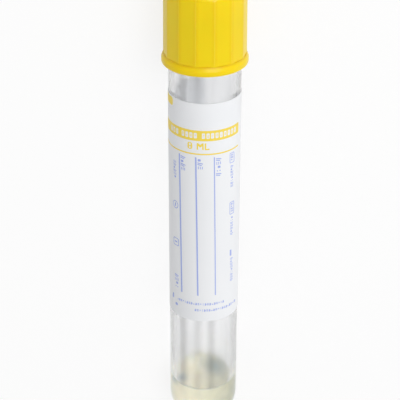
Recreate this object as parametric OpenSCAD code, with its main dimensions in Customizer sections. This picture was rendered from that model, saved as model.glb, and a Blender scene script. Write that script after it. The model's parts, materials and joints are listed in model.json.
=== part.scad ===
// Evacuated blood collection tube with separator gel, wrap label and a
// stopper held in a plastic shield, lying on a flat surface as it comes to rest.
//
// The pieces are drawn round the tube's own axis: z = 0 is the tip of the round
// bottom, +z runs to the closure and the printed front of the label faces -y.
// laid() then puts the tube on its side, closure at +y, label front up.

/* [Tube] */
// Length from the tip of the round bottom to the mouth
tube_length = 100; // [96:0.5:110]
// Outside diameter at the mouth
mouth_diameter = 15.8; // [15.5:0.1:16.5]
// Outside diameter of the parallel foot
foot_diameter = 15.3; // [14.8:0.1:15.5]
// Wall of the foot and of the round bottom
foot_wall = 1.25; // [1:0.05:1.6]
// Inside diameter of the parallel bore that holds the stopper
bore_diameter = 13.2; // [12.8:0.1:13.6]
// Depth of that parallel bore below the mouth
bore_depth = 11; // [10:0.5:14]
// Rounding of the mouth's two edges
rim_round = 0.3; // [0.1:0.05:0.5]

/* [Separator gel] */
// Height of the gel's front edge above the tip of the round bottom
gel_level = 11; // [9.5:0.1:14]
// Height that the gel's back edge stands above its front edge
gel_rise = 1.9; // [0:0.1:2]
// Height that the gel's rounded lump stands above its sloping top
lump_height = 1.4; // [0.5:0.1:2]
// Radius of the lump's dome
lump_radius = 4.4; // [4:0.1:6]
// Distance of the lump from the tube's axis
lump_offset = 2.8; // [0:0.1:3]
// Direction of the lump round the axis
lump_turn = 143; // [0:1:360]

/* [Label] */
// Clear length of tube between the closure and the label
label_gap = 6.7; // [4:0.1:9]
// Length of the label along the tube
label_length = 53.9; // [53:0.1:58]
// Width of the label's film round the tube
label_width = 47; // [44:0.5:47.5]
// Thickness of the label
label_thickness = 0.1; // [0.06:0.01:0.15]
// Turn of the label's centre line from the front
label_turn = -11.5; // [-30:0.5:30]
// Length of tube left bare and parallel below the label
foot_gap = 4; // [3:0.5:6]

/* [Print] */
// Turn of the print's centre line from the front
print_turn = -11.5; // [-30:0.5:0]
// Thickness of the printed ink
ink_thickness = 0.03; // [0.02:0.01:0.05]
// Width of the coloured band and of the line under it
band_width = 21.4; // [15:0.1:24]
// Distance from the label's top edge down to the band
band_drop = 6.3; // [5:0.1:6.5]
// Height of the band
band_height = 2.45; // [2:0.05:2.7]
// Distance from the label's top edge down to the volume mark
volume_drop = 9.25; // [9.25:0.05:9.6]
// Height of the volume mark's figures
volume_height = 1.6; // [1.2:0.1:1.8]
// Distance from the label's top edge down to the line under the band
line_drop = 11.65; // [11.5:0.05:11.8]
// Height of that line
line_height = 0.5; // [0.3:0.05:0.7]
// Distance from the label's top edge down to the writing rules
rule_drop = 12.7; // [12.6:0.1:13]
// Length of the writing rules
rule_length = 34.6; // [30:0.1:36]
// Width of one writing rule
rule_width = 0.36; // [0.2:0.02:0.6]
// Distance between neighbouring rules round the tube
rule_spacing = 4.05; // [3.5:0.05:4.5]

/* [Shield] */
// Length of tube that the shield's skirt covers
skirt_overlap = 9; // [7:0.5:10]
// Gap between the tube and the skirt
skirt_gap = 0.15; // [0.1:0.05:0.3]
// Wall of the skirt at its lower end
skirt_wall = 0.9; // [0.8:0.05:1.2]
// Height of the shield
shield_height = 18.5; // [16:0.5:21]
// Height of the plain flange round the lower edge
flange_height = 2; // [1.6:0.1:3]
// Distance that the flange stands proud of the body
flange_overhang = 0.4; // [0.2:0.05:0.6]
// Height of the slope from the flange up to the body
flange_slope = 0.9; // [0.5:0.1:1.2]
// Rounding of the flange's lower edge
flange_round = 0.3; // [0.15:0.05:0.4]
// Number of flats round the body
flat_count = 14; // [10:1:20]
// Depth that each flat is cut into the body
flat_depth = 0.18; // [0.1:0.02:0.3]
// Distance that the body draws in from the flange to the top
body_draft = 0.08; // [0:0.02:0.2]
// Rounding of the body's top shoulder
shoulder_round = 2.5; // [2:0.1:3]
// Thickness of the top web
top_web = 1; // [0.8:0.1:1.4]
// Diameter of the hole that guides the needle to the stopper
well_diameter = 10; // [9.6:0.1:10.4]
// Rounding of the hole's upper edge
well_round = 0.4; // [0.2:0.05:0.6]
// Wall of the collar round the hole
collar_wall = 0.9; // [0.7:0.05:1.2]

/* [Stopper] */
// Height of the stopper's head above the tube's mouth
head_height = 3.8; // [3.4:0.1:4.4]
// Depth that the plug reaches into the tube
plug_length = 8; // [6:0.5:9.5]
// Height that the head's bead stands out into the shield's groove
bead_proud = 0.25; // [0.15:0.05:0.3]
// Radius of the bead's round section
bead_radius = 0.5; // [0.4:0.05:0.7]
// Chamfer at the lower end of the plug
plug_chamfer = 0.6; // [0.3:0.1:0.9]
// Diameter of the recess under the plug
recess_diameter = 8; // [6:0.5:9]
// Depth of the recess under the plug
recess_depth = 4.5; // [3:0.5:5]
// Diameter of the dimple in the stopper's head
dimple_diameter = 8.6; // [7.6:0.1:9]
// Depth of the dimple in the stopper's head
dimple_depth = 1.4; // [0.8:0.1:2]
// Rounding of the head's upper edge
head_round = 0.4; // [0.2:0.05:0.6]

/* [Clearances] */
// Radial clearance of the plug in the tube's bore
plug_clearance = 0.03; // [0.02:0.01:0.08]
// Clearance all round the stopper's head inside the shield
head_clearance = 0.05; // [0.03:0.01:0.1]
// Gap between the stopper's head and the shield's collar
collar_gap = 0.03; // [0.02:0.01:0.1]
// Clearance between the label's face and the ink
ink_clearance = 0.005; // [0:0.005:0.02]

/* [Hidden] */
$fn = 96;

// A cut runs past the faces that it opens by this much
overrun = 1;
// Direction of the label's printed side round the axis
front = -90;
// Turn from one flat of the shield to the next, and of the closure's seams, onto a ridge
flat_turn = 360 / flat_count;

// Tube
mouth_r = mouth_diameter / 2;
foot_r = foot_diameter / 2;
foot_bore_r = foot_r - foot_wall;
bore_r = bore_diameter / 2;
lip_z = tube_length - rim_round;
flange_bottom = tube_length - skirt_overlap;
label_top = flange_bottom - label_gap;
label_bottom = label_top - label_length;
parallel_top = label_bottom - foot_gap;

// Outside radius of the tapered tube at height z above the parallel foot
function tube_r(z) = foot_r + (mouth_r - foot_r) * (z - parallel_top) / (lip_z - parallel_top);

// Gel
gel_slope = atan(gel_rise / (2 * foot_bore_r));

// Label
label_round = 360 / (PI * mouth_diameter);   // degrees for each millimetre round the label
label_sweep = label_width * label_round;
band_sweep = band_width * label_round;
rule_sweep = rule_width * label_round;
rule_step = rule_spacing * label_round;

// Stopper
skirt_r = mouth_r + skirt_gap;
head_r = skirt_r - head_clearance;
head_top = tube_length + head_height;
bead_z = tube_length + head_height / 2;
bead_ring_r = head_r + bead_proud - bead_radius;
plug_r = bore_r - plug_clearance;
plug_bottom = tube_length - plug_length;
recess_r = recess_diameter / 2;
dimple_r = dimple_diameter / 2;

// Shield
body_r = skirt_r + skirt_wall;
body_top_r = body_r - body_draft;
flange_r = body_r + flange_overhang;
shield_top = flange_bottom + shield_height;
web_bottom = shield_top - top_web;
well_r = well_diameter / 2;
collar_r = well_r + collar_wall;
collar_bottom = head_top + collar_gap;
pocket_r = skirt_r - 0.35;
skirt_lead = 0.3;
flat_lean = atan(body_draft / (shield_height - flange_height));

// Rest on a flat surface: the round bottom and the flange's rounded lower edge both touch it
rest_run = flange_bottom + flange_round - foot_r;
rest_rise = flange_r - flange_round;
rest_tilt = asin((flange_round - foot_r) / norm([rest_run, rest_rise])) + atan2(rest_rise, rest_run);
low_end = foot_r * cos(rest_tilt) - foot_r;
high_end = (shield_top - shoulder_round) * cos(rest_tilt)
    + (body_top_r - shoulder_round) * sin(rest_tilt) + shoulder_round;
rest_shift = -(low_end + high_end) / 2;
rest_lift = foot_r - foot_r * sin(rest_tilt);

// The object on its side, centred over the origin
module laid() {
    translate([0, rest_shift, rest_lift]) rotate([rest_tilt - 90, 0, 0]) children();
}

// Half profile of a round end with its tip down, centred at height foot_r
module round_end(r) {
    intersection() {
        translate([0, foot_r]) circle(r);
        translate([0, foot_r - r]) square(r);
    }
}

// Corner of a half profile, rounded: the circle's centre is at [x, z]
module corner(x, z, r) {
    translate([x, z]) circle(r);
}

module tube_outside() {
    round_end(foot_r);
    polygon([[0, foot_r], [foot_r, foot_r], [foot_r, parallel_top], [mouth_r, lip_z],
        [mouth_r - rim_round, tube_length], [0, tube_length]]);
    corner(mouth_r - rim_round, lip_z, rim_round);
}

module tube_cavity() {
    bore_bottom = tube_length - bore_depth;
    round_end(foot_bore_r);
    polygon([[0, foot_r], [foot_bore_r, foot_r], [foot_bore_r, parallel_top], [bore_r, bore_bottom],
        [bore_r, tube_length + overrun], [0, tube_length + overrun]]);
}

module tube() {
    color([0.93, 0.95, 0.96, 0.35]) laid() rotate([0, 0, front]) rotate_extrude() {
        difference() {
            tube_outside();
            tube_cavity();
            translate([0, lip_z]) square([bore_r + rim_round, rim_round + overrun]);
        }
        corner(bore_r + rim_round, lip_z, rim_round);
    }
}

// The gel's sloping top as the plane z = 0, rising to the back
module on_gel_top() {
    translate([0, 0, gel_level + gel_rise / 2]) rotate([gel_slope, 0, 0]) children();
}

// Gel: the round bottom filled up to a sloping top with a rounded lump on it
module separator_gel() {
    fill_top = gel_level + gel_rise + lump_height + overrun;
    color([0.9, 0.88, 0.77]) laid() intersection() {
        rotate_extrude() {
            round_end(foot_bore_r);
            translate([0, foot_r]) square([foot_bore_r, fill_top - foot_r]);
        }
        on_gel_top() {
            translate([-foot_diameter / 2, -foot_diameter / 2, -fill_top])
                cube([foot_diameter, foot_diameter, fill_top]);
            rotate([0, 0, lump_turn]) translate([lump_offset, 0, lump_height - lump_radius])
                sphere(lump_radius);
        }
    }
}

// Part of a sleeve on the tube's taper, from angle a1 to a2 (0 is the front, + is to the right),
// from z1 up to z2, with its inner face inset from the tube's surface
module wrap(a1, a2, z1, z2, inset, thickness) {
    r1 = tube_r(z1) + inset;
    r2 = tube_r(z2) + inset;
    rotate([0, 0, front + a1]) rotate_extrude(angle = a2 - a1)
        polygon([[r1, z1], [r1 + thickness, z1], [r2 + thickness, z2], [r2, z2]]);
}

module label() {
    color([0.93, 0.94, 0.95]) laid()
        wrap(label_turn - label_sweep / 2, label_turn + label_sweep / 2,
            label_bottom, label_top, 0, label_thickness);
}

// Ink field centred at angle a and drop d below the label's top edge; sweep in degrees
module ink(a, d, sweep, height) {
    wrap(a - sweep / 2, a + sweep / 2, label_top - d - height, label_top - d,
        label_thickness + ink_clearance, ink_thickness);
}

// Ink field given by its width in millimetres
module ink_block(a, d, width, height) {
    ink(a, d, width * label_round, height);
}

// Short blocks in a line along the tube, in place of a word
module blocks_down(a, d, count, pitch, width) {
    for (i = [0:count - 1]) ink_block(a, d + i * pitch, width, pitch * 0.68);
}

// Short blocks in a line round the tube, from angle a1 to a2, in place of a row of words
module blocks_round(a1, a2, d, pitch, height) {
    step = pitch * label_round;
    for (a = [a1:step:a2]) ink(a, d, step * 0.66, height);
}

// Figure 8 and the unit letters in plain strokes that stop just short of each other
module volume_mark() {
    stroke = 0.32;
    gap = 0.04;
    figure_width = 1;
    em_width = 1.5;
    foot = volume_drop + volume_height - stroke;
    // 8: two uprights and three bars
    eight = print_turn - 9.5;
    for (s = [-1, 1])
        ink_block(eight + s * (figure_width - stroke) / 2 * label_round, volume_drop, stroke, volume_height);
    for (k = [0:2])
        ink_block(eight, volume_drop + k * (volume_height - stroke) / 2,
            figure_width - 2 * (stroke + gap), stroke);
    // M: two uprights, a bar between their heads and a short middle stroke
    em = print_turn + 3.5;
    for (s = [-1, 1])
        ink_block(em + s * (em_width - stroke) / 2 * label_round, volume_drop, stroke, volume_height);
    ink_block(em, volume_drop, em_width - 2 * (stroke + gap), stroke);
    ink_block(em, volume_drop + stroke + gap, stroke, volume_height * 0.45);
    // L: an upright and a foot
    el = print_turn + 15.5;
    ink_block(el - (figure_width - stroke) / 2 * label_round, volume_drop, stroke, volume_height);
    ink_block(el + (stroke + gap) / 2 * label_round, foot, figure_width - stroke - gap, stroke);
}

module print_yellow() {
    blank_pitch = 1.5;       // blank blocks inside the band, in place of its words
    blank_width = 0.9;
    blank_height = 0.75;
    blank_z = label_top - band_drop - band_height / 2 - blank_height / 2;
    fill_mark_width = 4.1;   // at the label's upper edge, under the band's left end
    fill_mark_height = 1.9;
    fill_mark_drop = 0.3;
    color([0.93, 0.8, 0.2]) laid() {
        difference() {
            ink(print_turn, band_drop, band_sweep, band_height);
            for (a = [-0.42 * band_sweep:blank_pitch * label_round:0.44 * band_sweep])
                rotate([0, 0, front + print_turn + a])
                    translate([mouth_r - overrun, -blank_width / 2, blank_z])
                        cube([2 * overrun, blank_width, blank_height]);
        }
        ink(print_turn, line_drop, band_sweep, line_height);
        volume_mark();
        ink_block(print_turn - band_sweep / 2 + fill_mark_width / 2 * label_round,
            fill_mark_drop, fill_mark_width, fill_mark_height);
    }
}

module print_blue() {
    first_rule = print_turn - 1.01 * rule_step;
    words_drop = rule_drop + 0.3;
    word_turn = 0.24 * rule_step;              // from a rule to the word beside it
    word_width = 1.25;
    letter_pitches = [0.95, 0.78, 1.2];
    column_turn = 0.403 * band_sweep;          // from the print's middle to the right column
    column_width = 1.05;
    column_step = 12.1;                        // from one group of the column to the next
    left_turn = 0.66 * column_turn;
    square_drop = rule_drop + 12.4;
    square_step = 9.3;
    square = 1.2;
    row_drop = rule_drop + rule_length + 1.9;  // two rows round the foot of the label
    row_step = 1.6;
    row_pitch = 0.95;
    row_height = 0.6;
    color([0.35, 0.42, 0.75]) laid() {
        for (i = [0:2]) {
            ink(first_rule + i * rule_step, rule_drop, rule_sweep, rule_length);
            blocks_down(first_rule + i * rule_step + word_turn, words_drop, 4, letter_pitches[i], word_width);
            blocks_down(print_turn + column_turn, rule_drop + i * column_step, 8, 1.12, column_width);
            ink_block(print_turn - left_turn, square_drop + i * square_step, square, square);
        }
        blocks_down(print_turn - left_turn, rule_drop + 2.2, 5, 1, column_width);
        blocks_round(print_turn - 0.6 * column_turn, print_turn + 0.74 * column_turn,
            row_drop, row_pitch, row_height);
        blocks_round(print_turn - 0.06 * column_turn, print_turn + 1.2 * column_turn,
            row_drop + row_step, row_pitch, row_height);
        ink_block(print_turn - 0.83 * column_turn, row_drop - 0.4, 0.5, 1.2);
        ink_block(print_turn - 0.68 * column_turn, row_drop + row_step, 0.8, row_height);
    }
}

// Rubber stopper: a head that seats on the mouth, with a bead, and a hollow plug
module stopper() {
    color([0.55, 0.55, 0.56]) laid() rotate([0, 0, flat_turn]) rotate_extrude() {
        difference() {
            union() {
                polygon([[0, plug_bottom], [plug_r - plug_chamfer, plug_bottom],
                    [plug_r, plug_bottom + plug_chamfer], [plug_r, tube_length], [head_r, tube_length],
                    [head_r, head_top - head_round], [head_r - head_round, head_top], [0, head_top]]);
                corner(head_r - head_round, head_top - head_round, head_round);
                corner(bead_ring_r, bead_z, bead_radius);
            }
            translate([0, plug_bottom - overrun]) square([recess_r, recess_depth + overrun]);
            translate([0, head_top - dimple_depth]) square([dimple_r, dimple_depth + overrun]);
        }
    }
}

// Half profile of the shield's outside: flange, slope, drafted body and round shoulder
module shield_outside() {
    shoulder_z = shield_top - shoulder_round;
    slope_bottom = flange_bottom + flange_height - flange_slope;
    polygon([[0, flange_bottom], [flange_r - flange_round, flange_bottom],
        [flange_r, flange_bottom + flange_round], [flange_r, slope_bottom],
        [body_r, flange_bottom + flange_height], [body_top_r, shoulder_z],
        [body_top_r - shoulder_round, shield_top], [0, shield_top]]);
    corner(flange_r - flange_round, flange_bottom + flange_round, flange_round);
    corner(body_top_r - shoulder_round, shoulder_z, shoulder_round);
}

// Half profile of the shield's inside: skirt, groove for the bead, pocket round the collar, well
module shield_inside() {
    polygon([[0, flange_bottom - overrun], [skirt_r + skirt_lead + overrun, flange_bottom - overrun],
        [skirt_r, flange_bottom + skirt_lead], [skirt_r, collar_bottom], [0, collar_bottom]]);
    corner(bead_ring_r, bead_z, bead_radius + head_clearance);
    translate([collar_r, collar_bottom - overrun])
        square([pocket_r - collar_r, web_bottom - collar_bottom + overrun]);
    square([well_r, shield_top - well_round]);
    translate([0, shield_top - well_round]) square([well_r + well_round, well_round + overrun]);
}

module cap_shield() {
    color([0.95, 0.84, 0.15]) laid() difference() {
        rotate([0, 0, flat_turn]) rotate_extrude() {
            difference() {
                shield_outside();
                shield_inside();
            }
            corner(well_r + well_round, shield_top - well_round, well_round);
        }
        // flats, one of them facing the front
        for (i = [0:flat_count - 1]) rotate([0, 0, front + i * flat_turn])
            translate([body_r - flat_depth, -body_r / 2, flange_bottom + flange_height])
                rotate([0, -flat_lean, 0]) cube([body_r, body_r, shield_height]);
    }
}

tube();
separator_gel();
label();
print_yellow();
print_blue();
stopper();
cap_shield();
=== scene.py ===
"""Looks of the blood collection tube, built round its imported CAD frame.

Every piece stands for a CAD node and takes its main sizes from that node or from the record's
mounts. The tube's own frame is (phi, r, a): the angle in degrees from the label's printed
front, positive to the right, the distance from the axis and the height above the tip of the
round bottom, both in millimetres. place() turns it into metres in the row frame.
"""

import json
from math import atan2, ceil, cos, degrees, exp, hypot, pi, radians, sin, sqrt

import bmesh
import bpy
import numpy as np
from mathutils import Matrix, Vector, noise
from mathutils.geometry import delaunay_2d_cdt


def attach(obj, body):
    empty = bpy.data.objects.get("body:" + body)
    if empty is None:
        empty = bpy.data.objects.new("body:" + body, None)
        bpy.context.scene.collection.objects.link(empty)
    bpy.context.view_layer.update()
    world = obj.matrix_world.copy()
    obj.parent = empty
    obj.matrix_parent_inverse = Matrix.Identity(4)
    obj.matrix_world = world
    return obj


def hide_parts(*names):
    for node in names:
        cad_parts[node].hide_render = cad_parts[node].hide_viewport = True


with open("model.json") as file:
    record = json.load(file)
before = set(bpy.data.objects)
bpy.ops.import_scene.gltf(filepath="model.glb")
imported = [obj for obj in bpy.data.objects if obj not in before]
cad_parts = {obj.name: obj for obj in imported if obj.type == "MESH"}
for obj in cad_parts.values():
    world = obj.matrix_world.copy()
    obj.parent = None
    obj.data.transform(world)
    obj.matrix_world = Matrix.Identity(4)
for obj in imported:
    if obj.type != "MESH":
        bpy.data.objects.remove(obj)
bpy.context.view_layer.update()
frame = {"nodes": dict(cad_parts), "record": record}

MM = 0.001
CLOSE = 0.01                               # measures of a CAD node this close, in mm, are the same
CLEAR = 1                                  # a place this far from an edge, in mm, is clear of its rounding
WELD = 1e-7                                # vertices this close, in metres, are one

# ---------------------------------------------------------------- the tube's own frame

MOUNTS = {mount["name"]: mount for mount in frame["record"]["mounts"]}
FOOT = MOUNTS["tube_foot"]
WELL = MOUNTS["needle_well"]
FOOT_R = FOOT["dims"]["r_mm"]
FOOT_LENGTH = FOOT["dims"]["length_mm"]
DOWN = Vector(FOOT["axis"])
ALONG = -DOWN
RIGHT = Vector((1, 0, 0))
FRONT = RIGHT.cross(ALONG)
TIP = Vector(FOOT["pos_m"]) + DOWN * (FOOT_LENGTH / 2 + FOOT_R) * MM


def place(phi, r, a):
    """The row-frame point, in metres, at an angle, a radius and a height of the tube's frame."""
    turn = radians(phi)
    return TIP + ((RIGHT * sin(turn) + FRONT * cos(turn)) * r + ALONG * a) * MM


def place_flat(across, front, a):
    """The row-frame point, in metres, of a place across the tube, towards its front and at a height."""
    return TIP + (RIGHT * across + FRONT * front + ALONG * a) * MM


def polar(points):
    """Angles, radii and heights in the tube's frame of row-frame points."""
    across, front, height = ((np.array(points) - np.array(TIP)) @ np.array((RIGHT, FRONT, ALONG)).T / MM).T
    return np.degrees(np.arctan2(across, front)), np.hypot(across, front), height


def spread(node):
    """Angles, radii and heights of all the vertices of a CAD node."""
    return polar([vertex.co for vertex in frame["nodes"][node].data.vertices])


def islands(node):
    """Every separate solid of a CAD node as (angle from, angle to, height from, height to)."""
    solids = bmesh.new()
    solids.from_mesh(frame["nodes"][node].data)
    bmesh.ops.remove_doubles(solids, verts=solids.verts, dist=WELD)
    seen, found = set(), []
    for first in solids.verts:
        if first in seen:
            continue
        seen.add(first)
        queue, members = [first], []
        while queue:
            vertex = queue.pop()
            members.append(vertex.co.copy())
            for edge in vertex.link_edges:
                other = edge.other_vert(vertex)
                if other not in seen:
                    seen.add(other)
                    queue.append(other)
        phi, _, a = polar(members)
        found.append((phi.min(), phi.max(), a.min(), a.max()))
    solids.free()
    return found


# ---------------------------------------------------------------- sizes from the CAD nodes

_, tube_r, tube_a = spread("tube")
TUBE_TOP = tube_a.max()
MOUTH_R = tube_r.max()
BORE_R = tube_r[tube_a > TUBE_TOP - CLEAR].min()
BORE_BOTTOM = tube_a[abs(tube_r - BORE_R) < CLOSE].min()
PARALLEL_TOP = FOOT_R + FOOT_LENGTH
RIM = 0.3                                  # rounding of the mouth's edges

gel_phi, gel_r, gel_a = spread("separator_gel")
INNER_R = gel_r.max()                      # the tube's inside radius round the gel
gel_edge = gel_a[(gel_r > INNER_R - 2 * CLOSE) & (gel_a > FOOT_R + CLEAR)]
GEL_FRONT, GEL_BACK = gel_edge.min(), gel_edge.max()
GEL_SLOPE = (GEL_BACK - GEL_FRONT) / (2 * INNER_R)
GEL_MIDDLE = (GEL_BACK + GEL_FRONT) / 2    # height of the sloping top on the tube's axis
LUMP_PHI, LUMP_R = radians(gel_phi[gel_a.argmax()]), gel_r[gel_a.argmax()]
LUMP_X, LUMP_F = LUMP_R * sin(LUMP_PHI), LUMP_R * cos(LUMP_PHI)
LUMP_TOP = gel_a.max()

label_phi, _, label_a = spread("label")
LABEL_FROM, LABEL_TO = label_a.min(), label_a.max()
label_phi = np.sort(label_phi)
label_phi = np.append(label_phi, label_phi[0] + 360)
gap = np.argmax(np.diff(label_phi))        # the widest step round the label is the bare strip
LABEL_TURN = (label_phi[gap] + label_phi[gap + 1]) / 2 - 180
LABEL_SWEEP = 360 - (label_phi[gap + 1] - label_phi[gap])
ROUND = degrees(1 / MOUTH_R)               # degrees for each millimetre round the label
WHITE_TO = 96                              # angle where the label's white face ends and clear film goes on

_, stopper_r, stopper_a = spread("stopper")
PLUG_BOTTOM, HEAD_TOP = stopper_a.min(), stopper_a.max()
PLUG_R = stopper_r[stopper_a < TUBE_TOP - CLEAR].max()
HEAD_R = stopper_r[abs(stopper_a - TUBE_TOP) < CLOSE].max()
BEAD_R = stopper_r.max()

_, shield_r, shield_a = spread("cap_shield")
SHIELD_BOTTOM, SHIELD_TOP = shield_a.min(), shield_a.max()
WELL_R, WELL_ROUND = WELL["dims"]["r_mm"], 0.4
COLLAR_BOTTOM = SHIELD_TOP - WELL_ROUND - WELL["dims"]["length_mm"]
SKIRT_R = MOUTH_R + 0.15
FLANGE_R = shield_r.max()
FLANGE_TOP = SHIELD_BOTTOM + 2.0
BODY_R = FLANGE_R - 0.4
BODY_DRAFT = 0.08                          # the body draws in by this much up to its top
SHOULDER = 2.5                             # rounding of the shield's top edge
CORNER = 0.06                              # the flats end this far over the flange, where its corner starts
FLATS = 14


def wall_r(a):
    """Outside radius of the tapered tube at height a."""
    return FOOT_R + (MOUTH_R - FOOT_R) * max(0, (a - PARALLEL_TOP) / (TUBE_TOP - RIM - PARALLEL_TOP))


# ---------------------------------------------------------------- mesh building


def piece(name, vertices, faces, finish, body, slot, *stands_for, sharp=35):
    """A smooth mesh piece that rides on a body and stands for a CAD node. Edges over an angle stay sharp."""
    mesh = bpy.data.meshes.new(name)
    mesh.from_pydata([tuple(v) for v in vertices], [], faces)
    clean = bmesh.new()
    clean.from_mesh(mesh)
    bmesh.ops.remove_doubles(clean, verts=clean.verts, dist=WELD)
    bmesh.ops.recalc_face_normals(clean, faces=clean.faces)
    clean.to_mesh(mesh)
    clean.free()
    mesh.shade_smooth()
    mesh.set_sharp_from_angle(angle=radians(sharp))
    mesh.materials.append(finish)
    obj = bpy.data.objects.new(name, mesh)
    bpy.context.scene.collection.objects.link(obj)
    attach(obj, body)
    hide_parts(*stands_for)


def turned(angles, radii, heights, ring=False):
    """Vertices and faces of a turned form: one row for each radius and height, which may vary round
    the columns. A ring joins its last row to its first, and other forms close on the axis."""
    columns = len(angles)
    radii = np.broadcast_to(np.array(radii, float).reshape(len(radii), -1), (len(radii), columns))
    heights = np.broadcast_to(np.array(heights, float).reshape(len(heights), -1), radii.shape)
    vertices = [place(phi, r, a) for row_r, row_a in zip(radii, heights)
                for phi, r, a in zip(angles, row_r, row_a)]
    rows = len(radii)
    faces = []
    for i in range(rows if ring else rows - 1):
        low, high = i * columns, (i + 1) % rows * columns
        for j in range(columns):
            k = (j + 1) % columns
            faces.append((low + j, low + k, high + k, high + j))
    return vertices, faces


def lathe(profile, columns):
    """A turned form that closes on the axis, with the same (radius, height) profile all round."""
    angles = np.arange(columns) * 360 / columns
    radii, heights = zip(*profile)
    return turned(angles, radii, heights)


def softened(corners):
    """A profile with its corners worked round. Each corner is (radius, height, reach of the round)."""
    steps = 4
    profile = []
    for i, (r, a, reach) in enumerate(corners):
        corner = Vector((r, a))
        if not reach:
            profile.append((r, a))
            continue
        start = corner + (Vector(corners[i - 1][:2]) - corner).normalized() * reach
        end = corner + (Vector(corners[(i + 1) % len(corners)][:2]) - corner).normalized() * reach
        for k in range(steps + 1):
            t = k / steps
            profile.append(tuple((1 - t) ** 2 * start + 2 * t * (1 - t) * corner + t * t * end))
    return profile


def arc(r, a, radius, start, end, steps):
    """Points on a circle of the profile plane, from one angle to another in degrees."""
    turns = [radians(start + (end - start) * k / steps) for k in range(steps + 1)]
    return [(r + radius * cos(t), a + radius * sin(t)) for t in turns]


# ---------------------------------------------------------------- flat shapes laid round the label

INK_FROM, INK_TO = 0.09, 0.125             # the ink's inner and outer face over the tube's wall
PEN = 0.15                                 # stroke of the small print
SNAP = 1e-6                                # points of a flat shape this close, in mm, are one


def box_loop(width, height, corner, steps=4):
    """Outline of a box with rounded corners, centred on the origin."""
    corner = min(corner, 0.499 * width, 0.499 * height)
    points = []
    for quarter, (sx, sy) in enumerate(((1, 1), (-1, 1), (-1, -1), (1, -1))):
        for k in range(steps + 1):
            t = (quarter + k / steps) * pi / 2
            points.append((sx * (width / 2 - corner) + corner * cos(t),
                           sy * (height / 2 - corner) + corner * sin(t)))
    return points


def stroke_loop(p, q, width):
    """Outline of a straight pen stroke with round ends."""
    steps = 6
    turn = atan2(q[1] - p[1], q[0] - p[0])
    points = []
    for end, start in ((q, turn - pi / 2), (p, turn + pi / 2)):
        for k in range(steps + 1):
            t = start + pi * k / steps
            points.append((end[0] + width / 2 * cos(t), end[1] + width / 2 * sin(t)))
    return points


def moved(loops, across, up):
    """The same outlines moved on the label, in millimetres."""
    return [[(x + across, y + up) for x, y in loop] for loop in loops]


def inside(loops, points):
    """Which points lie inside an odd number of the outlines."""
    points = np.array(points)
    odd = np.zeros(len(points), bool)
    for loop in loops:
        p = np.array(loop)
        q = np.roll(p, -1, axis=0)
        for (x1, y1), (x2, y2) in zip(p, q):
            crosses = (y1 > points[:, 1]) != (y2 > points[:, 1])
            with np.errstate(divide="ignore", invalid="ignore"):
                odd ^= crosses & (points[:, 0] < (x2 - x1) * (points[:, 1] - y1) / (y2 - y1) + x1)
    return odd


def dense(loop, step):
    """An outline with extra points wherever it runs further than step round the tube."""
    points = []
    for (x1, y1), (x2, y2) in zip(loop, loop[1:] + loop[:1]):
        parts = max(1, ceil(abs(x2 - x1) / step))
        points += [(x1 + (x2 - x1) * k / parts, y1 + (y2 - y1) * k / parts) for k in range(parts)]
    return points


def lattice(loops, points, step, rise):
    """Points inside a wide shape, a step apart round the tube, on which it bends."""
    (x1, y1), (x2, y2) = np.min(points, axis=0), np.max(points, axis=0)
    if x2 - x1 <= 2 * step:
        return []
    up = min(rise, (y2 - y1) / 2)
    grid = [(x, y) for x in np.arange(x1 + step / 2, x2, step) for y in np.arange(y1 + up / 2, y2, up)]
    return [point for point, within in zip(grid, inside(loops, grid)) if within]


def filled(loops, step, rise):
    """Points and triangles of a flat shape, which is where an odd number of its outlines overlap."""
    loops = [dense(loop, step) for loop in loops]
    points, edges = [], []
    for loop in loops:
        first = len(points)
        points += loop
        edges += [(first + k, first + (k + 1) % len(loop)) for k in range(len(loop))]
    points += lattice(loops, points, step, rise)
    flat, _, triangles, *_ = delaunay_2d_cdt([Vector(p) for p in points], edges, [], 0, SNAP)
    centres = [sum((flat[i] for i in t), Vector((0, 0))) / 3 for t in triangles]
    return flat, [t for t, within in zip(triangles, inside(loops, centres)) if within]


def wrapped(shapes, inner, outer, step=0.5, rise=4.0):
    """Vertices and faces of thin flat shapes wrapped round the tube. Each shape is a list of outlines
    in millimetres from the front and above the tip, and inner and outer give radii over the wall."""
    vertices, faces = [], []
    for loops in shapes:
        flat, triangles = filled(loops, step, rise)
        used = sorted({i for t in triangles for i in t})
        low = len(vertices)
        high = low + len(used)
        index = {i: n for n, i in enumerate(used)}
        for over in (inner, outer):
            vertices += [place(flat[i][0] * ROUND, wall_r(flat[i][1]) + over, flat[i][1]) for i in used]
        rim = {}               # edges that only one triangle has, in the order they come
        for p, q, s in ([index[i] for i in t] for t in triangles):
            faces.append((high + p, high + q, high + s))
            faces.append((low + s, low + q, low + p))
            for m, n in ((p, q), (q, s), (s, p)):
                if not rim.pop((n, m), False):
                    rim[m, n] = True
        faces += [(low + m, low + n, high + n, high + m) for m, n in rim]
    return vertices, faces


# ---------------------------------------------------------------- materials


def srgb(red, green, blue):
    """A colour given as 0 to 255 display values, as a shader colour."""
    channels = [v / 255 for v in (red, green, blue)]
    return [v / 12.92 if v <= 0.04045 else ((v + 0.055) / 1.055) ** 2.4 for v in channels] + [1]


def material(name, **inputs):
    """A material with one Principled shader. Returns it, its node tree and the shader."""
    made = bpy.data.materials.new(name)
    made.use_nodes = True
    shader = made.node_tree.nodes["Principled BSDF"]
    for key, value in inputs.items():
        shader.inputs[key.replace("_", " ")].default_value = value
    return made, made.node_tree, shader


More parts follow.
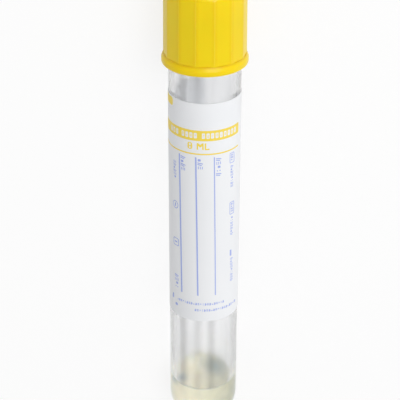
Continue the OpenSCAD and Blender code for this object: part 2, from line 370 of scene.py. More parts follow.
def add(tree, kind, inputs=None, **settings):
    """A node with its settings and inputs. An input is a value or the socket that feeds it."""
    node = tree.nodes.new(kind)
    for key, value in settings.items():
        setattr(node, key, value)
    for key, value in (inputs or {}).items():
        if isinstance(value, bpy.types.NodeSocket):
            tree.links.new(value, node.inputs[key])
        else:
            node.inputs[key].default_value = value
    return node


def maths(tree, operation, *values, **settings):
    """A sum, product or other function of numbers and sockets."""
    return add(tree, "ShaderNodeMath", dict(enumerate(values)), operation=operation, **settings).outputs[0]


def vector_maths(tree, operation, *values):
    """A function of vectors, as a vector or, where it is a length or a product, as a number."""
    made = add(tree, "ShaderNodeVectorMath", dict(enumerate(values)), operation=operation)
    return made.outputs["Value" if operation in ("LENGTH", "DOT_PRODUCT") else "Vector"]


def ramp(tree, value, start, end, first=0, last=1, kind="LINEAR"):
    """A number that runs from first to last while a value runs from start to end."""
    made = add(tree, "ShaderNodeMapRange", {"Value": value, "From Min": start, "From Max": end,
                                            "To Min": first, "To Max": last}, interpolation_type=kind)
    return made.outputs["Result"]


def between(tree, factor, low, high):
    """A factor from 0 to 1 as a number from low to high."""
    return ramp(tree, factor, 0, 1, low, high)


def fading(tree, value, reach, first=1, last=0):
    """first where a value is 0, passing smoothly to last where the value is reach or more, up or down."""
    return ramp(tree, maths(tree, "ABSOLUTE", value), 0, reach, first, last, "SMOOTHSTEP")


def mixed(tree, factor, first, second):
    """A mix of two numbers."""
    return add(tree, "ShaderNodeMix", {"Factor": factor, 2: first, 3: second}).outputs[0]


def blended(tree, factor, first, second):
    """A mix of two colours."""
    mix = add(tree, "ShaderNodeMix", {"Factor": factor, 6: first, 7: second}, data_type="RGBA")
    return mix.outputs[2]


def object_place(tree):
    """The place of a point on the object, in metres."""
    return add(tree, "ShaderNodeTexCoord").outputs["Object"]


def in_tube_frame(tree, axis):
    """The distance of a point from the tip of the tube along one of the tube's own axes, in metres."""
    return vector_maths(tree, "DOT_PRODUCT", vector_maths(tree, "SUBTRACT", object_place(tree), TIP), axis)


def angle_round(tree):
    """The angle of a point round the tube, in radians from the front."""
    return maths(tree, "ARCTAN2", in_tube_frame(tree, RIGHT), in_tube_frame(tree, FRONT))


def grain(tree, size, detail, stretch=(1, 1, 1), rough=0.5):
    """Noise over the object, 0 to 1, with grains of a size in millimetres, stretched along the axes."""
    scaled = add(tree, "ShaderNodeMapping", {"Vector": object_place(tree),
                                             "Scale": [1 / s for s in stretch]})
    made = add(tree, "ShaderNodeTexNoise", {"Vector": scaled.outputs["Vector"], "Scale": 1 / (size * MM),
                                            "Detail": detail, "Roughness": rough})
    return made.outputs["Fac"]


def near(tree, centre, reach):
    """1 at a point of the row frame, falling smoothly to 0 at a reach in millimetres."""
    away = vector_maths(tree, "SUBTRACT", object_place(tree), centre)
    return fading(tree, vector_maths(tree, "LENGTH", away), reach * MM)


def near_plane(tree, a, reach):
    """1 at a height of the tube's frame, falling smoothly to 0 at a reach in millimetres above and below."""
    return fading(tree, maths(tree, "SUBTRACT", in_tube_frame(tree, ALONG), a * MM), reach * MM)


def streaks(tree, lines):
    """Tint of painted shade in lines along the tube, 1 between the lines and less by its depth in the middle
    of a line.
    Each line has an angle from the front, half its width in degrees and its depth."""
    angle = angle_round(tree)
    tint = 1
    for phi, half, depth in lines:
        off = maths(tree, "SUBTRACT", angle, radians(phi))
        tint = maths(tree, "MULTIPLY", tint, fading(tree, off, radians(half), 1 - depth, 1))
    return tint


def bumped(tree, shader, height, depth, below=None):
    """Bump of a depth in millimetres on a shader, over another bump if one is given."""
    made = add(tree, "ShaderNodeBump", {"Height": height, "Distance": depth * MM, "Strength": 1})
    if below:
        tree.links.new(below, made.inputs["Normal"])
    tree.links.new(made.outputs["Normal"], shader.inputs["Normal"])
    return made.outputs["Normal"]


def let_light_through(tree, shader, share):
    """Makes each face let a share of the light through to what is behind it."""
    clear = add(tree, "ShaderNodeBsdfTransparent", {"Color": (share, share, share, 1)})
    path = add(tree, "ShaderNodeLightPath")
    mix = add(tree, "ShaderNodeMixShader", {0: path.outputs["Is Shadow Ray"], 1: shader.outputs["BSDF"],
                                            2: clear.outputs["BSDF"]})
    tree.links.new(mix.outputs["Shader"], tree.nodes["Material Output"].inputs["Surface"])


# painted shade: darker bands along the wall that stand in for darker surroundings seen through it, as
# streaks() takes them: all along it, and more of them below the label
PAINTED_WALL_BANDS = ((-39, 14, 0.3), (-12, 11, 0.1), (14, 8, 0.06), (-152, 15, 0.08), (-95, 10, 0.08))
PAINTED_FOOT_BANDS = ((-42, 10, 0.07), (-9, 13, 0.09), (14, 13, 0.17))


def clear_plastic():
    """Clear PET, glossy outside and a little hazy, as the film of clot activator on its inside makes it,
    with painted dark bands along the tube that stand in for darker surroundings seen through it, and a
    darker patch over the gel. Light passes to what is inside."""
    made, tree, shader = material("clear_plastic", Roughness=0.22, IOR=1.57, Transmission_Weight=1.0,
                                  Coat_Weight=0.6, Coat_Roughness=0.04)
    bumped(tree, shader, grain(tree, size=1.6, detail=1, stretch=(1, 30, 1)), 0.03)
    along = in_tube_frame(tree, ALONG)
    at_foot = ramp(tree, along, LABEL_FROM * MM, (LABEL_FROM + 4) * MM, 1, 0)
    # painted shade: dark bands along the wall, and more of them below the label
    painted_foot_tint = mixed(tree, at_foot, 1, streaks(tree, PAINTED_FOOT_BANDS))
    painted_band_tint = maths(tree, "MULTIPLY", streaks(tree, PAINTED_WALL_BANDS), painted_foot_tint)
    # a darker patch on the front wall over the gel
    dark_patch = near(tree, place(16, FOOT_R, GEL_FRONT + 7.5), 5)
    painted_band_tint = maths(tree, "MULTIPLY", painted_band_tint, between(tree, dark_patch, 1, 0.85))
    fine = between(tree, grain(tree, size=0.9, detail=2, stretch=(1, 60, 1)), 0, 0.05)
    painted_band_tint = maths(tree, "SUBTRACT", painted_band_tint, fine)
    over_gel = ramp(tree, along, (GEL_FRONT - 1.5) * MM, (GEL_FRONT + 1.5) * MM)
    tint = blended(tree, mixed(tree, over_gel, 1, painted_band_tint), (0, 0, 0, 1), (0.99, 0.993, 1, 1))
    tree.links.new(tint, shader.inputs["Base Color"])
    let_light_through(tree, shader, 0.97)
    return made


def painted_contact_shade(tree, contact):
    """Painted shade in a line round the gel where it meets the wall at a height, 0 away from the line and
    from the wall.
    """
    across, front = in_tube_frame(tree, RIGHT), in_tube_frame(tree, FRONT)
    level = maths(tree, "ADD", in_tube_frame(tree, ALONG), maths(tree, "MULTIPLY", front, GEL_SLOPE))
    line = fading(tree, maths(tree, "SUBTRACT", level, contact * MM), 0.45 * MM, 0.6, 0)
    from_axis = add(tree, "ShaderNodeCombineXYZ", {"X": across, "Y": front}).outputs["Vector"]
    radius = vector_maths(tree, "LENGTH", from_axis)
    at_wall = ramp(tree, radius, (INNER_R - 0.7) * MM, (INNER_R - 0.1) * MM)
    return maths(tree, "MULTIPLY", line, at_wall)


def gel(lump, shaded_thin_spots, contact):
    """Creamy translucent gel with a wet gloss, with painted light: paler on the left than on the right and
    brightest on its lump.
    Painted shade makes it bluish grey in the hollow beside the lump, where it is thin, and at a spot on the
    left, and darker along its line of contact with the wall."""
    made, tree, shader = material("gel", Roughness=0.2, IOR=1.42, Subsurface_Weight=0.85,
                                  Subsurface_Radius=(1, 0.85, 0.6), Subsurface_Scale=4 * MM,
                                  Coat_Weight=0.4, Coat_Roughness=0.05)
    # painted light: paler on the left, darker on the right
    side = ramp(tree, in_tube_frame(tree, RIGHT), -INNER_R * MM, INNER_R * MM)
    cloud = between(tree, grain(tree, size=3, detail=3), -0.25, 0.25)
    share = maths(tree, "ADD", side, cloud, use_clamp=True)
    colour = blended(tree, share, srgb(253, 248, 226), srgb(184, 186, 165))
    # painted highlight: paler on the lump
    colour = blended(tree, near(tree, lump, 3.4), colour, srgb(252, 247, 226))
    # painted shade: bluish grey in the hollow beside the lump, where the gel is thin, and at a spot on the
    # left
    for centre, reach in shaded_thin_spots:
        spot = between(tree, near(tree, centre, reach), 0, 0.95)
        colour = blended(tree, spot, colour, srgb(158, 176, 182))
    # painted shade along the gel's line of contact with the wall
    colour = blended(tree, painted_contact_shade(tree, contact), colour, srgb(150, 158, 148))
    tree.links.new(colour, shader.inputs["Base Color"])
    bumped(tree, shader, grain(tree, size=1.2, detail=2), 0.05)
    return made


def label_film():
    """White coated label film with a satin face, which lets light through to the shadow."""
    made, tree, shader = material("label_film", IOR=1.48)
    fibre = grain(tree, size=0.25, detail=4, rough=0.6)
    cloud = grain(tree, size=9, detail=2)
    white = blended(tree, cloud, srgb(234, 236, 239), srgb(240, 241, 243))
    tree.links.new(white, shader.inputs["Base Color"])
    tree.links.new(between(tree, fibre, 0.38, 0.5), shader.inputs["Roughness"])
    ripple = bumped(tree, shader, cloud, 0.02)
    bumped(tree, shader, fibre, 0.006, below=ripple)
    let_light_through(tree, shader, 0.985)
    return made


def clear_film():
    """Clear glossy film with a trace of haze."""
    made, tree, shader = material("clear_film", Base_Color=(0.95, 0.96, 0.97, 1), IOR=1.5)
    haze = grain(tree, size=4, detail=3)
    tree.links.new(between(tree, haze, 0.04, 0.1), shader.inputs["Alpha"])
    tree.links.new(between(tree, haze, 0.08, 0.16), shader.inputs["Roughness"])
    return made


def ink(name, thin, full):
    """Printing ink that lies a little unevenly on the label."""
    made, tree, shader = material(name, IOR=1.5)
    density = grain(tree, size=0.18, detail=3, rough=0.7)
    tree.links.new(blended(tree, density, thin, full), shader.inputs["Base Color"])
    tree.links.new(between(tree, density, 0.5, 0.35), shader.inputs["Roughness"])
    bumped(tree, shader, density, 0.004)
    return made


def butyl_rubber():
    """Grey moulded rubber with a fine matt skin."""
    made, tree, shader = material("butyl_rubber", IOR=1.5)
    skin = grain(tree, size=0.12, detail=4)
    cloud = grain(tree, size=3, detail=3)
    grey = blended(tree, cloud, srgb(128, 129, 131), srgb(150, 151, 153))
    tree.links.new(grey, shader.inputs["Base Color"])
    tree.links.new(between(tree, skin, 0.6, 0.8), shader.inputs["Roughness"])
    bumped(tree, shader, skin, 0.02)
    return made


def yellow_plastic():
    """Glossy yellow polyethylene, a little uneven from the mould. Painted shade makes it deeper in the
    corner over the flange and towards the sides of the flats, and a painted highlight makes it paler along
    the ridges between them."""
    made, tree, shader = material("yellow_plastic", IOR=1.5, Specular_IOR_Level=0.25, Subsurface_Weight=0.25,
                                  Subsurface_Radius=(1, 0.5, 0.05), Subsurface_Scale=2 * MM)
    cloud = grain(tree, size=5, detail=2, stretch=(1, 2.5, 1))
    skin = grain(tree, size=0.5, detail=3)
    colour = blended(tree, cloud, srgb(242, 207, 8), srgb(249, 217, 14))
    # painted shade in the corner over the flange
    corner = between(tree, near_plane(tree, FLANGE_TOP, 0.4), 0, 0.55)
    colour = blended(tree, corner, colour, srgb(222, 176, 8))
    over_flange = ramp(tree, in_tube_frame(tree, ALONG), FLANGE_TOP * MM, (FLANGE_TOP + 1) * MM)
    ridge = pi / FLATS                     # from the middle of a flat to a ridge
    off_middle = maths(tree, "PINGPONG", angle_round(tree), ridge)
    # painted shade towards the sides of the flats, then a painted highlight along the ridges
    for first, last, share, painted_tone in ((5.5, 1.5, 0.4, (234, 192, 2)), (1.1, 0, 0.3, (253, 234, 84))):
        side = ramp(tree, off_middle, ridge - radians(first), ridge - radians(last), 0, share, "SMOOTHSTEP")
        colour = blended(tree, maths(tree, "MULTIPLY", side, over_flange), colour, srgb(*painted_tone))
    tree.links.new(colour, shader.inputs["Base Color"])
    tree.links.new(between(tree, skin, 0.26, 0.34), shader.inputs["Roughness"])
    ripple = bumped(tree, shader, cloud, 0.02)
    bumped(tree, shader, skin, 0.002, below=ripple)
    return made


def pale_floor():
    """White floor that shows the object's soft shadow, and is white to the camera, in gloss and through
    what is clear."""
    made, tree, shader = material("pale_floor", Base_Color=(0.93, 0.93, 0.93, 1), Roughness=0.9)
    white = add(tree, "ShaderNodeEmission", {"Color": (1, 1, 1, 1), "Strength": 1.0})
    path = add(tree, "ShaderNodeLightPath")
    share = 0
    for ray, white_share in (("Is Camera Ray", 0.8), ("Is Glossy Ray", 0.2), ("Is Transmission Ray", 0.9)):
        share = maths(tree, "MAXIMUM", share, between(tree, path.outputs[ray], 0, white_share))
    mix = add(tree, "ShaderNodeMixShader", {0: share, 1: shader.outputs["BSDF"],
                                            2: white.outputs["Emission"]})
    tree.links.new(mix.outputs["Shader"], tree.nodes["Material Output"].inputs["Surface"])
    return made


# ---------------------------------------------------------------- pieces


def on_circle(radius, t):
    """Across and up from a circle's centre, at an angle in degrees from straight down."""
    return radius * sin(radians(t)), -radius * cos(radians(t))


def make_tube():
    """The clear tube as one wall, with the gate mark at its tip."""
    gate_r, gate_depth, gate_slope = 1.3, 0.14, 0.25
    nub_r, nub_height = 0.4, 0.1
    outside = []
    for r in (0, 0.15, 0.3, nub_r, 0.55, 0.75, 0.95, 1.1, 1.2, gate_r, 1.4, 1.6, 2.0):
        sunk = gate_depth * min(1, max(0, (gate_r - r) / gate_slope))
        nub = nub_height * sqrt(max(0, 1 - (r / nub_r) ** 2))
        outside.append((r, FOOT_R - sqrt(FOOT_R ** 2 - r ** 2) + sunk - nub))
    past_gate = degrees(atan2(2.3, FOOT_R))
    dome = [on_circle(FOOT_R, t) for t in np.linspace(past_gate, 90, 28)]
    outside += [(r, FOOT_R + up) for r, up in dome]
    outside += [(wall_r(a), a) for a in np.linspace(PARALLEL_TOP, TUBE_TOP - RIM, 12)]
    lip = arc(MOUTH_R - RIM, TUBE_TOP - RIM, RIM, 0, 90, 6)
    lip += arc(BORE_R + RIM, TUBE_TOP - RIM, RIM, 90, 180, 6)
    inner_wall = [(BORE_R, BORE_BOTTOM), (INNER_R, PARALLEL_TOP), (INNER_R, FOOT_R)]
    bowl = [on_circle(INNER_R, t) for t in np.linspace(86, 0, 26)]
    inner_wall += [(r, FOOT_R + up) for r, up in bowl]
    vertices, faces = lathe(outside + lip[1:] + inner_wall, columns=192)
    piece("tube_wall", vertices, faces, clear_plastic(), "tube_body", "clear_plastic", "tube")


GEL_SIDE_R = INNER_R + 0.03                # a little inside the wall, so that no air shows
CLIMB = 0.5                                # height that the gel climbs up the wall
HOLLOW_X, HOLLOW_F = 2.6, -2.4             # place of a hollow beside the lump, right and front


def gel_top(phi, r):
    """Height of the gel's uneven top, with a lump, a hollow, folds and an edge that wets the wall."""
    x, f = r * sin(radians(phi)), r * cos(radians(phi))
    lump_height = LUMP_TOP - (GEL_MIDDLE - GEL_SLOPE * LUMP_F)
    lump_width, hollow_width, climb_width, hollow_depth = 2.5, 2.6, 0.7, 0.7
    lump = lump_height / (1 + (hypot(x - LUMP_X, f - LUMP_F) / lump_width) ** 4)
    hollow = hollow_depth / (1 + (hypot(x - HOLLOW_X, f - HOLLOW_F) / hollow_width) ** 4)
    edge = CLIMB * exp((r - GEL_SIDE_R) / climb_width)
    folds = 0.22 * noise.noise(Vector((0.45 * x, 0.45 * f, 3.1))) + 0.08 * noise.noise(Vector((x, f, 7.7)))
    return GEL_MIDDLE - GEL_SLOPE * f + lump - hollow + edge + folds * (1 - (r / GEL_SIDE_R) ** 6)


def make_gel():
    """The gel: its uneven top, its side along the wall and its round bottom, from the top down."""
    columns = 96
    angles = np.arange(columns) * 360 / columns
    top_radii = GEL_SIDE_R * np.sin(np.linspace(0, pi / 2, 30))
    rows_r = [np.full(columns, r) for r in top_radii]
    rows_a = [np.array([gel_top(phi, r) for phi in angles]) for r in top_radii]
    edge = rows_a[-1]
    for share in np.linspace(0.15, 1, 7):
        rows_r.append(np.full(columns, GEL_SIDE_R))
        rows_a.append(edge + (FOOT_R - edge) * share)
    for r, up in (on_circle(GEL_SIDE_R, t) for t in np.linspace(84, 0, 15)):
        rows_r.append(np.full(columns, r))
        rows_a.append(np.full(columns, FOOT_R + up))
    vertices, faces = turned(angles, rows_r, rows_a)
    # spots of painted shade: in the hollow beside the lump and on the left
    shaded_thin_spots = ((place_flat(3.1, HOLLOW_F, GEL_MIDDLE + 1.4), 4.4),
                  (place_flat(-5.4, 2.2, GEL_MIDDLE), 2.6))
    finish = gel(place_flat(LUMP_X, LUMP_F, LUMP_TOP), shaded_thin_spots, GEL_MIDDLE + CLIMB)
    piece("gel_plug", vertices, faces, finish, "tube_body", "gel", "separator_gel", sharp=60)


def make_label():
    """The label's film: a white face, and from WHITE_TO on a clear window to read the level."""
    corner, bite, thickness = 1.2, 0.01, 0.1
    cut = WHITE_TO / ROUND
    outline = box_loop(LABEL_SWEEP / ROUND, LABEL_TO - LABEL_FROM, corner, steps=8)
    outline = moved([outline], LABEL_TURN / ROUND, (LABEL_TO + LABEL_FROM) / 2)[0]
    white = [(min(x, cut), y) for x, y in outline]
    window = [(max(x, cut), y) for x, y in outline]
    for name, shape, finish in (("label_sheet", white, label_film()),
                                ("label_window", window, clear_film())):
        vertices, faces = wrapped([[shape]], -bite, thickness, step=0.4, rise=2.0)
        piece(name, vertices, faces, finish, "tube_body", "label_film", "label")


def printed(node):
    """Every solid of a printed node as (left, right, low, high) in millimetres on the flattened label."""
    return [(left / ROUND, right / ROUND, low, high) for left, right, low, high in islands(node)]


def width(box):
    """Width of a box (left, right, low, high)."""
    return box[1] - box[0]


def height(box):
    """Height of a box (left, right, low, high)."""
    return box[3] - box[2]


def from_above(boxes):
    """Boxes in order from the top of the label down."""
    return sorted(boxes, key=lambda box: -box[2])


def field(box, corner=0.3):
    """A field with rounded corners, given as a share of its shorter side."""
    left, right, low, high = box
    return moved([box_loop(width(box), height(box), corner * min(width(box), height(box)))],
                 (left + right) / 2, (low + high) / 2)


def grouped(boxes, gap):
    """Boxes joined into the boxes of their groups, wherever they are closer than a gap."""
    groups = []
    for box in boxes:
        left, right, low, high = box
        joined = [g for g in groups if left < g[1] + gap and right > g[0] - gap
                  and low < g[3] + gap and high > g[2] - gap]
        groups = [g for g in groups if g not in joined]
        sides = list(zip(box, *joined))
        groups.append((min(sides[0]), max(sides[1]), min(sides[2]), max(sides[3])))
    return groups


def scribble(length, tall, seed, pen=PEN):
    """Small print that says nothing: double dashes, blocks, slanted ticks and dots, as outlines."""
    shapes, at, wide = [], pen / 2, 0.42 * tall
    step = seed
    while at <= length - wide:
        kind = ("dashes", "ticks", "block", "ticks", "dashes", "block", "dots", "ticks")[step % 8]
        middle = at + wide / 2
        if kind == "dashes":
            for level in (0.16, 0.5, 0.84):
                shapes.append([stroke_loop((at, level * tall), (at + wide, level * tall), 0.8 * pen)])
        elif kind == "ticks":
            for foot, top in ((at, 0.92), (at + 0.7 * wide, 0.7)):
                shapes.append([stroke_loop((foot, 0.08 * tall), (foot + 0.35 * wide, top * tall), pen)])
        elif kind == "block":
            shapes.append(moved([box_loop(wide, 0.5 * tall, 0.12)], middle, (0.32, 0.58)[step % 2] * tall))
        else:
            shapes += [moved([box_loop(1.3 * pen, 1.3 * pen, 0.1)], middle, level * tall)
                       for level in (0.25, 0.75)]
        at += wide + 1.9 * pen
        step += 1
    return shapes


def running(shapes, x, y, down):
    """Small print set on the label from a point, round the tube to the right or down along it."""
    if down:
        return [[[(x + v, y - u) for u, v in loop] for loop in loops] for loops in shapes]
    return [moved(loops, x, y) for loops in shapes]


def askew(shapes, middle):
    """Print that runs a little to the right on its way down, through a height where it stays in place."""
    lean = 0.016
    return [[[(x + lean * (middle - y), y) for x, y in loop] for loop in loops] for loops in shapes]


def blank_words(band):
    """Openings in the band in place of three words: rounded blocks with a slot or a notch."""
    left, right, low, high = band
    tall, wide, pitch = 0.54 * height(band), 0.7, 0.98
    holes = []
    for start, count in ((-0.35, 3), (-0.18, 4), (0.04, 9)):
        for k in range(count):
            x = (left + right) / 2 + start * width(band) + (k + 0.5) * pitch
            y = (low + high) / 2
            holes += moved([box_loop(wide, tall, 0.2)], x, y)
            slot = (box_loop(0.16, 0.5 * tall, 0.07), box_loop(0.34 * wide, 0.16, 0.07))[(k + count) % 2]
            holes += moved([slot], x, y + (0.1, -0.12, 0)[k % 3])
    return holes


def volume_figures(box):
    """The figure 8 and the unit's two letters in bold rounded strokes."""
    left, right, low, high = box
    left, tall, pen = left - 0.35, height(box), 0.31
    eight_wide, eight_middle = 1.08, left + 0.5
    eight = moved([box_loop(eight_wide, tall, 0.42)], eight_middle, (low + high) / 2)
    for share in (0.29, 0.72):
        eye = box_loop(eight_wide - 2 * pen, 0.3 * tall, 0.15)
        eight += moved([eye], eight_middle, low + share * tall)
    wide, dip, crotch = 1.5, 0.42, 0.62 * tall
    em = [(0, 0), (pen, 0), (pen, crotch), (wide / 2, crotch - dip), (wide - pen, crotch), (wide - pen, 0),
          (wide, 0), (wide, tall), (wide - pen, tall), (wide / 2, tall - dip), (pen, tall), (0, tall)]
    el_wide = 1.0
    el = [(0, 0), (el_wide, 0), (el_wide, pen), (pen, pen), (pen, tall), (0, tall)]
    return [eight, moved([em], left + 2.05, low), moved([el], right - el_wide, low)]


def make_yellow_print():
    """The band with blank words, the fine line under it, the volume mark and the fill mark."""
    boxes = printed("print_yellow")
    wide = from_above(box for box in boxes if width(box) > 10)
    band, line = wide[0], wide[-1]
    small = from_above(grouped([box for box in boxes if box not in wide], 0.7))
    fill_mark, figures = small[0], small[-1]
    thinner = 0.1
    fine_line = (line[0], line[1], line[2] + thinner, line[3] - thinner)
    shapes = [field(band, 0.12) + blank_words(band), field(fine_line), field(fill_mark)]
    vertices, faces = wrapped(shapes + volume_figures(figures), INK_FROM, INK_TO)
    finish = ink("yellow_ink", srgb(246, 223, 98), srgb(240, 209, 64))
    piece("yellow_print", vertices, faces, finish, "tube_body", "yellow_ink", "print_yellow")


def framed(middle, high, tall, seed):
    """A small outlined field at the head of a column, with small print in it."""
    wide, line, letters, margin = 1.5, 0.14, 0.7, 0.35
    frame_loops = [box_loop(wide, tall, 0.3), box_loop(wide - 2 * line, tall - 2 * line, 0.2)]
    words = scribble(tall - 2 * margin, letters, seed)
    words = running(words, middle - letters / 2, high - margin, True)
    return [moved(frame_loops, middle, high - tall / 2)] + words


def ring_or_box(x, y, corner, slot_wide, slot_tall):
    """A small outlined mark with a short stroke in it."""
    size, line = 1.9, 0.15
    outlines = [box_loop(size, size, corner), box_loop(size - 2 * line, size - 2 * line, corner - 0.1)]
    return [moved(outlines, x, y), moved([box_loop(slot_wide, slot_tall, 0.12)], x, y)]


def small_marks(marks):
    """A ring, a box and a run of small print on the left of the rules, and fields below them."""
    (ring, box, words), fields = marks[:3], marks[3:]
    shapes = []
    for mark, look in ((ring, (0.95, 0.3, 0.9)), (box, (0.4, 0.9, 0.3))):
        shapes += ring_or_box((mark[0] + mark[1]) / 2, (mark[2] + mark[3]) / 2, *look)
    shapes += running(scribble(4.2, 1.3, 3, 0.2), words[0], words[3] + 0.4, True)
    return shapes + [field(mark) for mark in fields]


def right_column(k, box):
    """One of the three groups of the right column: small print down from a field or, last, from a stroke."""
    left, right, low, high = box
    head, space = (2.5, 3.1, 1.5)[k], 0.6
    if k < 2:
        shapes = framed((left + right) / 2, high, head, k)
    else:
        shapes = [moved([box_loop(0.5, head, 0.1)], left + 0.15, high - head / 2)]
    start = high - head - space
    return shapes + running(scribble(start - low, 0.95, 4 * k + 1), left, start, True)


def make_blue_print():
    """The writing rules, small print that says nothing, and plain marks."""
    boxes = printed("print_blue")
    rules = sorted(box for box in boxes if height(box) > 20)
    groups = grouped([box for box in boxes if box not in rules], 0.6)
    rows = from_above(g for g in groups if width(g) > 5)
    marks = from_above(g for g in groups if max(width(g), height(g)) < 2)
    columns = sorted((g for g in groups if g not in rows and g not in marks), key=lambda g: (g[0], -g[2]))
    shapes = small_marks(marks)
    for (left, right, low, high), share in zip(rules, (1, 0.9, 0.62)):
        spare = (1 - share) * (right - left) / 2
        shapes.append(field((left + spare, right - spare, low, high)))
    for seed, box in enumerate(columns[:-3]):
        pen = 0.2 if width(box) > 1.15 else PEN
        shapes += running(scribble(height(box), width(box), seed, pen), box[0], box[3], True)
    for k, box in enumerate(from_above(columns[-3:])):
        shapes += right_column(k, box)
    for seed, box in enumerate(rows):
        shapes += running(scribble(width(box), height(box), seed + 2), box[0], box[2], False)
    rules_middle = (rules[0][2] + rules[0][3]) / 2
    vertices, faces = wrapped(askew(shapes, rules_middle), INK_FROM, INK_TO)
    finish = ink("blue_ink", srgb(174, 188, 238), srgb(144, 161, 227))
    piece("blue_print", vertices, faces, finish, "tube_body", "blue_ink", "print_blue")


def bulge(centre_r, a, radius, wall):
    """Points of a bead or groove with a round section, where it stands out from a wall, from below up."""
    half = degrees(atan2(sqrt(radius ** 2 - (wall - centre_r) ** 2), wall - centre_r))
    return arc(centre_r, a, radius, -half, half, 10)


def make_stopper():
    """The rubber stopper: dimpled head with a bead, and a hollow plug."""
    bead, bead_a = 0.5, (TUBE_TOP + HEAD_TOP) / 2
    dimple_r, dimple_a = 4.3, HEAD_TOP - 1.4
    recess_r, recess_a = 4.0, PLUG_BOTTOM + 4.5
    chamfer = 0.6
    lower = softened([(0, recess_a, 0), (recess_r, recess_a, 0.5), (recess_r, PLUG_BOTTOM, 0.3),
                      (PLUG_R - chamfer, PLUG_BOTTOM, 0.15), (PLUG_R, PLUG_BOTTOM + chamfer, 0.3),
                      (PLUG_R, TUBE_TOP, 0.1), (HEAD_R, TUBE_TOP, 0.2), (HEAD_R, bead_a, 0)])
    upper = softened([(HEAD_R, bead_a, 0), (HEAD_R, HEAD_TOP, 0.4), (dimple_r, HEAD_TOP, 0.3),
                      (dimple_r, dimple_a, 0.4), (0, dimple_a, 0)])
    profile = lower[:-1] + bulge(BEAD_R - bead, bead_a, bead, HEAD_R) + upper[1:]
    vertices, faces = lathe(profile, columns=128)
    piece("rubber_stopper", vertices, faces, butyl_rubber(), "stopper_body", "butyl_rubber", "stopper")


def shield_body():
    """Profile of the part that has the flats, from the well over the shoulder down to the flange."""
    shoulder_r = BODY_R - BODY_DRAFT - SHOULDER
    profile = [(WELL_R + WELL_ROUND, SHIELD_TOP)]
    profile += arc(shoulder_r, SHIELD_TOP - SHOULDER, SHOULDER, 90, 0, 22)
    profile += [(BODY_R, SHIELD_TOP - drop) for drop in (5, 9, 13)]
    return profile + [(BODY_R, FLANGE_TOP + CORNER)]


def shield_rest():
    """Profile of the rest of the shield: flange, skirt, groove for the stopper's bead, pocket and well."""
    slope, flange_round, lead = 0.9, 0.3, 0.3
    groove, groove_r, groove_a = 0.55, 7.75, TUBE_TOP + 1.9
    collar_r, pocket_r, web_a = WELL_R + 0.9, SKIRT_R - 0.35, SHIELD_TOP - 1.0
    flange = softened([(BODY_R, FLANGE_TOP + CORNER, 0), (BODY_R, FLANGE_TOP, 0.05),
                       (FLANGE_R, FLANGE_TOP - slope, 0.18), (FLANGE_R, SHIELD_BOTTOM + 1, 0)])[1:-1]
    flange += arc(FLANGE_R - flange_round, SHIELD_BOTTOM + flange_round, flange_round, 0, -90, 6)
    ring = bulge(groove_r, groove_a, groove, SKIRT_R)
    skirt = softened([(FLANGE_R - flange_round, SHIELD_BOTTOM, 0), (SKIRT_R + lead, SHIELD_BOTTOM, 0.1),
                      (SKIRT_R, SHIELD_BOTTOM + lead, 0.1), ring[0] + (0,)])
    upper = softened([ring[-1] + (0,), (SKIRT_R, COLLAR_BOTTOM, 0.1), (pocket_r, COLLAR_BOTTOM, 0.1),
                      (pocket_r, web_a, 0.3), (collar_r, web_a, 0.3), (collar_r, COLLAR_BOTTOM, 0.15),
                      (WELL_R, COLLAR_BOTTOM, 0.15), (WELL_R, web_a, 0)])
    mouth = arc(WELL_R + WELL_ROUND, SHIELD_TOP - WELL_ROUND, WELL_ROUND, 180, 90, 8)
    return flange + skirt[1:-1] + ring[:-1] + upper[1:] + mouth[:-1]


def make_shield():
    """The yellow shield: flange, flats with narrow ridges between them, round shoulder, well and skirt."""
    flat_depth, ridge_blend = 0.18, 0.07
    half = 180 / FLATS
    # columns from the middle of a flat to its side, which crowd together at the ridge
    offsets = np.array([0, 4, 8, 10, 10.7, 11.1, 11.4, 11.7, 12.0, 12.35])
    offsets = np.concatenate([offsets, [half], 2 * half - offsets[:0:-1]])
    angles = np.concatenate([k * 2 * half + offsets for k in range(FLATS)])
    to_flat = np.radians((angles + half) % (2 * half) - half)
    radii, heights = [], []
    for r, a in shield_body():
        drawn_in = BODY_DRAFT / (SHIELD_TOP - FLANGE_TOP) * (a - FLANGE_TOP)
        if a < SHIELD_TOP - SHOULDER:
            r = BODY_R - drawn_in
        short = (BODY_R - flat_depth - drawn_in) / np.cos(to_flat) - r
        radii.append(r + (short - np.sqrt(short ** 2 + ridge_blend ** 2)) / 2)
        heights.append(np.full(len(angles), a))
    for r, a in shield_rest():
        radii.append(np.full(len(angles), r))
        heights.append(np.full(len(angles), a))
    vertices, faces = turned(angles, radii, heights, ring=True)
    piece("shield_shell", vertices, faces, yellow_plastic(), "shield_body", "yellow_plastic", "cap_shield")


def make_floor():
    """A wide white floor under the tube."""
    side = 3.0
    corners = [(x * side, y * side, 0) for x, y in ((-1, -1), (1, -1), (1, 1), (-1, 1))]
    mesh = bpy.data.meshes.new("floor")
    mesh.from_pydata(corners, [], [(0, 1, 2, 3)])
    mesh.materials.append(pale_floor())
    floor = bpy.data.objects.new("floor", mesh)
    bpy.context.scene.collection.objects.link(floor)


# ---------------------------------------------------------------- camera and light


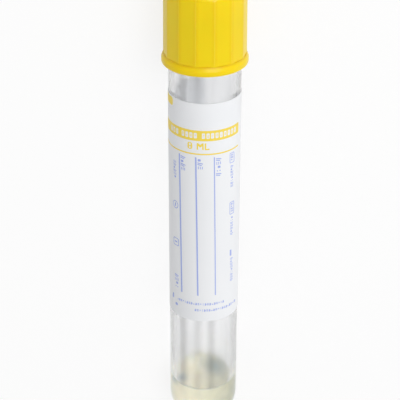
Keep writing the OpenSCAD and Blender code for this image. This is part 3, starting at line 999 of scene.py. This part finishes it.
def make_camera():
    """The camera above the lying tube, with the closure at the top of the picture and cut by its edge."""
    right, front, along = -0.93, 357.2, 247.0   # place in the tube's frame, millimetres
    dip, roll = radians(27.99), radians(0.244)  # look down towards the foot, and turn of the picture
    look = -(ALONG * sin(dip) + FRONT * cos(dip))
    up = ALONG * cos(dip) - FRONT * sin(dip)
    side = RIGHT * cos(roll) + up * sin(roll)
    up = up * cos(roll) - RIGHT * sin(roll)
    data = bpy.data.cameras.new("camera")
    data.sensor_width = 36
    data.lens = 163.9
    camera = bpy.data.objects.new("camera", data)
    turn = Matrix((side, up, -look)).transposed().to_4x4()
    camera.matrix_world = Matrix.Translation(place_flat(right, front, along)) @ turn
    bpy.context.scene.collection.objects.link(camera)
    bpy.context.scene.camera = camera


def area_light(name, place_at, size, power):
    """A rectangular soft light aimed at the tube. size is across and along."""
    target = Vector((0, 0, 0.01))
    data = bpy.data.lights.new(name, "AREA")
    data.shape = "RECTANGLE"
    data.size, data.size_y = size
    data.energy = power
    light = bpy.data.objects.new(name, data)
    light.location = place_at
    light.rotation_euler = (target - Vector(place_at)).to_track_quat("-Z", "Y").to_euler()
    bpy.context.scene.collection.objects.link(light)


def make_light():
    """A large soft key from the right, a narrow fill from the left, and a world that is darker on the left.
    The camera and what is clear see the world in white."""
    area_light("key", (0.24, 0.3, 0.62), (0.42, 0.42), 2.35)
    area_light("fill", (-0.58, -0.3, 0.38), (0.02, 0.9), 0.14)
    world = bpy.data.worlds.new("studio")
    bpy.context.scene.world = world
    world.use_nodes = True
    tree = world.node_tree
    tree.nodes.clear()
    direction = add(tree, "ShaderNodeTexCoord").outputs["Generated"]
    sides = add(tree, "ShaderNodeSeparateXYZ", {"Vector": direction})
    glow = ramp(tree, sides.outputs["X"], -1, 1, 0.42, 0.78)
    path = add(tree, "ShaderNodeLightPath")
    seen = maths(tree, "MAXIMUM", path.outputs["Is Camera Ray"], path.outputs["Is Transmission Ray"])
    strength = mixed(tree, seen, glow, 1)
    light = add(tree, "ShaderNodeBackground", {"Color": (1, 1, 1, 1), "Strength": strength})
    output = add(tree, "ShaderNodeOutputWorld")
    tree.links.new(light.outputs["Background"], output.inputs["Surface"])


make_tube()
make_gel()
make_label()
make_yellow_print()
make_blue_print()
make_stopper()
make_shield()
make_floor()
make_camera()
make_light()
bpy.context.scene.view_settings.view_transform = "Standard"
